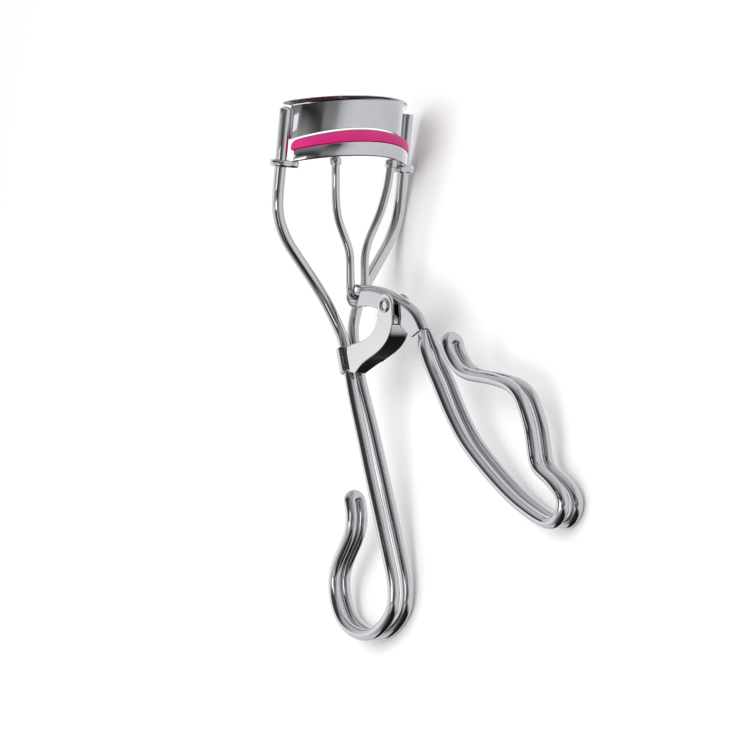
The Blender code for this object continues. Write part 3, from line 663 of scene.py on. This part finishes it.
def pad_section(th):
    b = bulge(th)
    low = 2.18 + 2.52 * b + 0.76
    lip = 4.48 + 2.98 * b + 0.06
    top = 6.47 + 3.19 * b
    o, i, t = JAW_R, BAR_IN, 0.55
    if abs(th) > BAR_END:
        low = lip - 0.14
    edge = min(1.0, (JAW_END - abs(th)) / math.radians(4.0))
    top = lip + 0.55 + (top - lip - 0.55) * math.sqrt(max(0.0, 1 - (1 - edge) ** 2))
    return fillet([
        (o - t - 0.06, low), (o - t - 0.06, lip + 0.02), (o + 0.02, lip + 0.08), (o + 0.07, (lip + top) / 2),
        (o - 0.12, top - 0.16), (15.6, top), (i + 0.12, top - 0.18), (i + 0.02, (lip + top) / 2),
        (i + 0.06, lip + 0.08), (i + t + 0.06, lip + 0.02), (i + t + 0.06, low)],
        [0.1, 0.02, 0.10, 2.0, 0.42, 6.0, 0.42, 2.0, 0.10, 0.02, 0.1], 5)


pad = rings_object("silicone_pad", arc_rings(pad_section, JAW_END - 0.012, 120, 0.16), m_pad)
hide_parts("jaw_pad")
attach(pad, "lower_jaw")


# ------------------------------------------------------------------ brackets
def smooth_line(points, count):
    f = spline_fine(points, 1200)
    return resample(f, math.radians(4.0), 0.6, 0.05) if count is None else f[:: max(1, 1200 // count)]


def ribbon_rings(path, side, t, half_w, corner, far=None):
    """Bent strip as rings across the path, corners rounded in the section;
    far gives the +W half width where it differs."""
    p = np.array(path, float)
    seg = np.diff(p, axis=0)
    seg /= np.linalg.norm(seg, axis=1)[:, None]
    tang = np.vstack([seg[:1], seg[:-1] + seg[1:], seg[-1:]])
    tang /= np.linalg.norm(tang, axis=1)[:, None]
    nor = np.column_stack([-tang[:, 1], tang[:, 0]]) * side
    rings = []
    for i in range(len(p)):
        hw = half_w(p[i]) if callable(half_w) else half_w
        fw = far(p[i]) if far else hw
        sec = fillet([(-hw, 0.0), (fw, 0.0), (fw, t), (-hw, t)], corner, 4)
        rings.append(np.array([(w, *(p[i] + nor[i] * s)) for w, s in sec]))
    return rings


def cheek_rings(outline, level, thick, edge=0.07):
    """Flat side; level(d) gives the outer face, thick is signed inwards."""
    out = np.asarray(outline, float)
    rings = []
    for u, d in ((0.0, edge), (edge, 0.0), (abs(thick) - edge, 0.0), (abs(thick), edge)):
        q = inset(out, d) if d else out
        s = 1 if thick > 0 else -1
        rings.append(np.array([(level(dd) + s * u, dd, ll) for dd, ll in q]))
    return rings


boss = []
for k in range(0, 25):
    a = math.radians(218 - k * 8.75)
    boss.append((HINGE_D + 2.25 * math.cos(a), HINGE_L + 2.25 * math.sin(a)))
link_in = smooth_line([(9.2, -31.6), (11.0, -30.75), (13.2, -29.95), (15.4, -28.90), (16.9, -27.50),
                       (17.6, -26.00), (17.75, -24.60)], None)
link_out = smooth_line([(22.35, -23.8), (22.45, -25.2), (22.15, -26.9), (21.40, -28.6), (20.15, -30.1),
                        (18.60, -31.35), (16.80, -32.5), (15.10, -33.6), (13.70, -34.85), (12.55, -36.2)], None)
near_outline = [tuple(q) for q in link_in] + boss + [tuple(q) for q in link_out] + [(10.4, -36.1)]
far_outline = [tuple(q) for q in link_in] + boss + [tuple(q) for q in link_out if q[0] > 15.0] + [
    (13.60, -34.05), (12.00, -34.35), (10.2, -34.60)]
COL_T = np.array([0.4220, -0.9066])
COL_N = np.array([0.9066, 0.4220])
COL_0 = np.array([7.42, -31.95])
COL_LEN = 4.95


def twin(half_w, r, n=30):
    """Outline in (W, N) of two overlapping circles on the wire centres."""
    out = []
    phi = math.pi - math.acos(half_w / r)
    for side, mid in ((1, 0.0), (-1, math.pi)):
        for k in range(n + 1):
            if side < 0 and k in (0, n):
                continue
            a = mid - phi + 2 * phi * k / n
            out.append((side * half_w + r * math.cos(a), r * math.sin(a)))
    return out


def sleeve_object(name):
    outer, inner = twin(1.16, WIRE_R + 0.12 + SHEET), twin(1.16, WIRE_R + 0.12)
    loops = [(0.0, outer, -0.10), (0.10, outer, 0.0), (COL_LEN - 0.10, outer, 0.0), (COL_LEN, outer, -0.10),
             (COL_LEN, inner, 0.0), (0.0, inner, 0.0)]
    verts, faces = [], []
    m = len(outer)
    for s, sec, grow in loops:
        q = inset(np.array(sec), -grow) if grow else np.array(sec)
        for w, nn in q:
            d, l = COL_0 + COL_T * s + COL_N * nn
            verts.append((w, d, l))
    for i in range(len(loops)):
        i2 = (i + 1) % len(loops)
        for k in range(m):
            k2 = (k + 1) % m
            faces.append((i * m + k, i * m + k2, i2 * m + k2, i2 * m + k))
    return mesh_object(name, place(verts), faces, None)


link = rings_object("pressed_link", cheek_rings(near_outline, lambda d: -LINK_OUT, SHEET), None)
cheek_b = rings_object("cheek_b", cheek_rings(far_outline, lambda d: LINK_OUT, -SHEET), None)
web_line = smooth_line([(22.43, -25.45), (22.15, -26.9), (21.40, -28.6), (20.15, -30.1), (18.60, -31.35),
                        (16.80, -32.5), (15.10, -33.6), (13.70, -34.85), (12.55, -36.2)], None)


def web_far(q):
    u = min(1.0, max(0.0, (q[0] - 12.6) / 3.6))
    return 0.45 + (LINK_OUT - 0.45) * u * (2 - u)


web = rings_object("web", ribbon_rings(web_line, -1, SHEET, LINK_OUT, [0.45, 0.45, 0.02, 0.02], web_far), None)
sleeve = sleeve_object("sleeve")
VOX = 0.10
fuse(link, [cheek_b, web, sleeve], VOX, 3, m_link)
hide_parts("link_bracket")
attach(link, "frame")


def offset_in(path, dist):
    """Points moved square off a (D, L) path, to its right-hand side."""
    p = np.array(path, float)
    seg = np.diff(p, axis=0)
    seg /= np.linalg.norm(seg, axis=1)[:, None]
    tang = np.vstack([seg[:1], seg[:-1] + seg[1:], seg[-1:]])
    tang /= np.linalg.norm(tang, axis=1)[:, None]
    return p + np.column_stack([tang[:, 1], -tang[:, 0]]) * dist


def trough_rings(path, radius, t, steps=36):
    """Half-round sheet whose crest follows a (D, L) path."""
    p = np.array(path, float)
    inward = offset_in(path, 1.0) - p
    rings = []
    for i in range(len(p)):
        row = []
        for k in range(steps + 1):
            a = -math.pi / 2 + math.pi * k / steps
            row.append((radius * math.sin(a), radius * (1 - math.cos(a))))
        for k in range(steps + 1):
            a = math.pi / 2 - math.pi * k / steps
            row.append(((radius - t) * math.sin(a), t + (radius - t) * (1 - math.cos(a))))
        rings.append(np.array([(w, *(p[i] + inward[i] * q)) for w, q in row]))
    return rings


top_line = smooth_line([(10.2, -19.62), (12.2, -19.38), (14.3, -19.28), (16.0, -19.32), (17.6, -19.48),
                        (19.3, -19.76), (21.0, -20.12), (22.7, -20.54), (24.2, -20.93), (25.5, -21.35),
                        (26.7, -21.92), (27.8, -22.62), (28.8, -23.50), (29.7, -24.46), (30.3, -25.22)], None)
low_line = smooth_line([(27.10, -27.34), (25.60, -26.70), (24.20, -26.05), (22.80, -25.35), (21.40, -24.80),
                        (20.00, -24.40), (18.60, -24.00), (17.00, -23.58), (15.20, -23.33), (13.40, -23.28),
                        (11.20, -23.48), (9.70, -23.84)], None)
cheek = [tuple(q) for q in offset_in(top_line, LEVER_HALF - 0.12)][:-1] + [tuple(q) for q in low_line]
lever = rings_object("pressed_lever", cheek_rings(cheek, lambda d: -LEVER_HALF, SHEET), None)
cheek2 = rings_object("cheek2", cheek_rings(cheek, lambda d: LEVER_HALF, -SHEET), None)
lweb = rings_object("lweb", trough_rings(top_line, LEVER_HALF, SHEET), None)
JC = (7.62, -21.93)
J_R = 2.25
tongue = [(12.2, -19.46), (10.45, -19.68), (9.2, -19.70)]
for k in range(0, 21):
    a = math.radians(90 + 9.0 * k)
    tongue.append((JC[0] + J_R * math.cos(a), JC[1] + J_R * math.sin(a)))
tongue += [(8.6, -24.20), (9.35, -24.05)]
tng = rings_object("tng", ribbon_rings(tongue, 1, SHEET, 0.58, 0.12), None)
fuse(lever, [cheek2, lweb, tng], VOX, 3, m_lever)
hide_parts("lever_bracket")
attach(lever, "lever")

# rivet: hollow-set head on each side
hs = LINK_OUT + 0.04
prof = [(-hs + 0.62, 0.02), (-hs + 0.62, 0.42), (-hs + 0.52, 0.60), (-hs + 0.16, 0.72), (-hs - 0.12, 0.88),
        (-hs - 0.28, 0.96), (-hs - 0.335, 1.06), (-hs - 0.33, 1.17), (-hs - 0.27, 1.27), (-hs - 0.17, 1.36),
        (-hs - 0.06, 1.42), (-hs, 1.43), (-hs, 0.99)]
prof = prof + [(-h, r) for h, r in reversed(prof)]
prof = [(h + hs + 1.0, r) for h, r in prof]
rivet = lathe("tubular_rivet", (-hs - 1.0, HINGE_D, HINGE_L), (hs + 1.0, HINGE_D, HINGE_L), prof, 48, m_rivet)
rivet.data.set_sharp_from_angle(angle=math.radians(60))
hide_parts("pivot_rivet")
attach(rivet, "frame")

# ------------------------------------------------------------------ floor
fm, fnt, fb = node_tree("pale_floor")
fb.inputs["Base Color"].default_value = (0.90, 0.90, 0.90, 1)
fb.inputs["Roughness"].default_value = 0.9
fb.inputs["Specular IOR Level"].default_value = 0.0
half = 3.0
floor = mesh_object("floor", [(-half, -half, -0.00002), (half, -half, -0.00002), (half, half, -0.00002), (-half, half, -0.00002)],
                    [(0, 1, 2, 3)], fm, False)
floor.visible_glossy = False

# ------------------------------------------------------------------ light
world = bpy.data.worlds.new("studio")
bpy.context.scene.world = world
world.use_nodes = True
wt = world.node_tree
bg = wt.nodes["Background"]
tc = wt.nodes.new("ShaderNodeTexCoord")
sep = wt.nodes.new("ShaderNodeSeparateXYZ")
wt.links.new(tc.outputs["Generated"], sep.inputs[0])
az = math_node(wt, "ARCTAN2", sep.outputs["Z"], sep.outputs["X"])
az = math_node(wt, "ADD", math_node(wt, "DIVIDE", az, 2 * math.pi), 0.5)   # 0.5 at +X, 0.75 overhead


def arch(stops):
    """Brightness round the tool in degrees: 0 at +X, 90 overhead."""
    ramp = wt.nodes.new("ShaderNodeValToRGB")
    cr = ramp.color_ramp
    cr.interpolation = "LINEAR"
    while len(cr.elements) < len(stops):
        cr.elements.new(0.5)
    for e, (deg, val) in zip(cr.elements, stops):
        e.position = 0.5 + deg / 360.0
        e.color = (val / 2, val / 2, val / 2 * 1.01, 1)
    wt.links.new(az, ramp.inputs["Fac"])
    return ramp.outputs["Color"]


# the tent of white cloth and grey boards, slice by slice along the tool
SLICES = [
    (-0.75, [(-180, 0.82), (-140, 0.70), (-130, 0.015), (-60, 0.012), (30, 0.03), (50, 0.10), (80, 0.15), (118, 0.52),
             (150, 0.95), (180, 0.82)]),
    (-0.56, [(-180, 0.90), (-140, 0.75), (-128, 0.03), (-60, 0.012), (30, 0.012), (45, 0.40), (70, 0.60), (100, 0.60),
             (125, 0.90), (180, 0.90)]),
    (-0.40, [(-180, 1.15), (-165, 0.95), (-110, 0.85), (-70, 0.60), (-20, 0.50), (-8, 0.05), (27, 0.03), (36, 0.30),
             (48, 0.80), (70, 0.85), (84, 0.60), (100, 0.60), (125, 1.05), (180, 1.10)]),
    (-0.20, [(-180, 1.10), (-120, 0.95), (-15, 0.92), (-5, 0.85), (3, 0.70), (9, 0.42), (14, 0.34), (24, 0.30),
             (29, 0.08), (40, 0.03), (57, 0.03), (61, 0.24), (85, 0.30), (92, 0.60), (117, 0.62), (124, 1.28),
             (148, 1.28), (155, 1.05), (180, 1.10)]),
    (-0.10, [(-180, 1.08), (-125, 1.02), (-100, 0.85), (-15, 0.90), (-5, 0.82), (3, 0.60), (9, 0.28), (24, 0.20),
             (40, 0.14), (57, 0.16), (64, 0.26), (84, 0.18), (95, 0.14), (127, 0.14), (134, 0.45), (142, 1.10), (180, 1.06)]),
    (0.06, [(-180, 1.05), (-130, 1.10), (-100, 0.80), (-20, 0.90), (-8, 0.75), (1, 0.45), (7, 0.08), (20, 0.08),
            (32, 0.34), (60, 0.38), (70, 0.10), (80, 0.03), (104, 0.03), (121, 0.06), (128, 0.20), (137, 0.80),
            (150, 0.95), (180, 1.05)]),
    (0.28, [(-180, 1.05), (-130, 1.10), (-105, 0.95), (-20, 0.92), (-5, 0.78), (4, 0.40), (9, 0.12), (20, 0.14),
            (30, 0.42), (48, 0.34), (56, 0.08), (70, 0.04), (98, 0.05), (118, 0.10), (126, 0.32), (140, 0.80), (180, 0.95)]),
    (0.50, [(-180, 0.85), (-130, 1.10), (-90, 1.00), (-60, 0.88), (-5, 0.88), (10, 0.72), (18, 0.20), (30, 0.24),
            (42, 0.36), (47, 0.07), (66, 0.07), (90, 0.12), (108, 0.26), (116, 0.45), (130, 0.62), (180, 0.80)]),
    (0.78, [(-180, 0.82), (0, 0.90), (24, 0.90), (32, 0.50), (45, 0.35), (52, 0.55), (70, 0.40), (85, 0.55),
            (110, 0.66), (180, 0.80)]),
]
colour = arch(SLICES[0][1])
for (y0, _), (y1, stops) in zip(SLICES[:-1], SLICES[1:]):
    share = math_node(wt, "DIVIDE", math_node(wt, "SUBTRACT", sep.outputs["Y"], y0), y1 - y0, True)
    mix = wt.nodes.new("ShaderNodeMix")
    mix.data_type = "RGBA"
    wt.links.new(share, mix.inputs["Factor"])
    wt.links.new(colour, mix.inputs["A"])
    wt.links.new(arch(stops), mix.inputs["B"])
    colour = mix.outputs["Result"]
wt.links.new(colour, bg.inputs["Color"])
bg.inputs["Strength"].default_value = 2.0

# overhead panels: a bright one and a dark one, seen only as reflections
def panel(name, x0, x1, y0, y1, z, brightness):
    mat = bpy.data.materials.new(name)
    mat.use_nodes = True
    nt = mat.node_tree
    nt.nodes.remove(nt.nodes["Principled BSDF"])
    em = nt.nodes.new("ShaderNodeEmission")
    em.inputs["Color"].default_value = (1.0, 1.0, 1.0, 1)
    em.inputs["Strength"].default_value = brightness
    nt.links.new(em.outputs[0], nt.nodes["Material Output"].inputs["Surface"])
    ob = mesh_object(name, [(x0, y0, z), (x1, y0, z), (x1, y1, z), (x0, y1, z)], [(0, 3, 2, 1)], mat, False)
    ob.visible_camera = False
    ob.visible_diffuse = False
    ob.visible_shadow = False
    ob.visible_transmission = False
    return ob


panel("bright_panel", 0.004, 0.10, -0.09, -0.012, 0.150, 1.75)
panel("strip_panel", -0.030, 0.032, 0.002, 0.0130, 0.150, 1.30)
panel("dark_panel", -0.033, 0.008, -0.045, 0.005, 0.075, 0.06)

# wide soft key for the floor and the pad
key = bpy.data.lights.new("key", "AREA")
key.shape = "RECTANGLE"
key.size, key.size_y = 0.72, 0.80
key.energy = 5.0
key_ob = bpy.data.objects.new("key", key)
bpy.context.scene.collection.objects.link(key_ob)
key_ob.location = (0.12, 0.05, 0.62)
key_ob.rotation_euler = (math.radians(-4), math.radians(9), 0.0)
key_ob.visible_glossy = False
key_ob.visible_camera = False

# ------------------------------------------------------------------ camera
a, e, r = 0.6632251, 0.1075831, 0.0910966
F, S, TX, TY = 4000.0, 5.25, -6.3647294, 37.841704
C = np.array([-math.sin(a) * math.cos(e), -math.cos(a) * math.cos(e), math.sin(e)])      # (W, -D, L)
X = np.cross([0, 0, 1.0], C)
X /= np.linalg.norm(X)
Y = np.cross(C, X)
right = math.cos(r) * X + math.sin(r) * Y
up = -math.sin(r) * X + math.cos(r) * Y
eye = -TX * right - TY * up + (F / S) * C


def from_tool(v):
    return LAY @ np.array([-v[1], v[2], -v[0]])


cam = bpy.data.cameras.new("camera")
cam_ob = bpy.data.objects.new("camera", cam)
bpy.context.scene.collection.objects.link(cam_ob)
cam.sensor_width = 36.0
cam.lens = 36.0 * F / 750.0
cam.clip_start, cam.clip_end = 0.05, 20.0
rw, uw, cw = from_tool(right), from_tool(up), from_tool(C)
pos = from_tool(eye) * MM + SHIFT
m = Matrix.Identity(4)
for i in range(3):
    m[i][0], m[i][1], m[i][2], m[i][3] = rw[i], uw[i], cw[i], pos[i]
cam_ob.matrix_world = m
bpy.context.scene.camera = cam_ob

bpy.context.scene.view_settings.view_transform = "Standard"
bpy.context.scene.view_settings.look = "None"
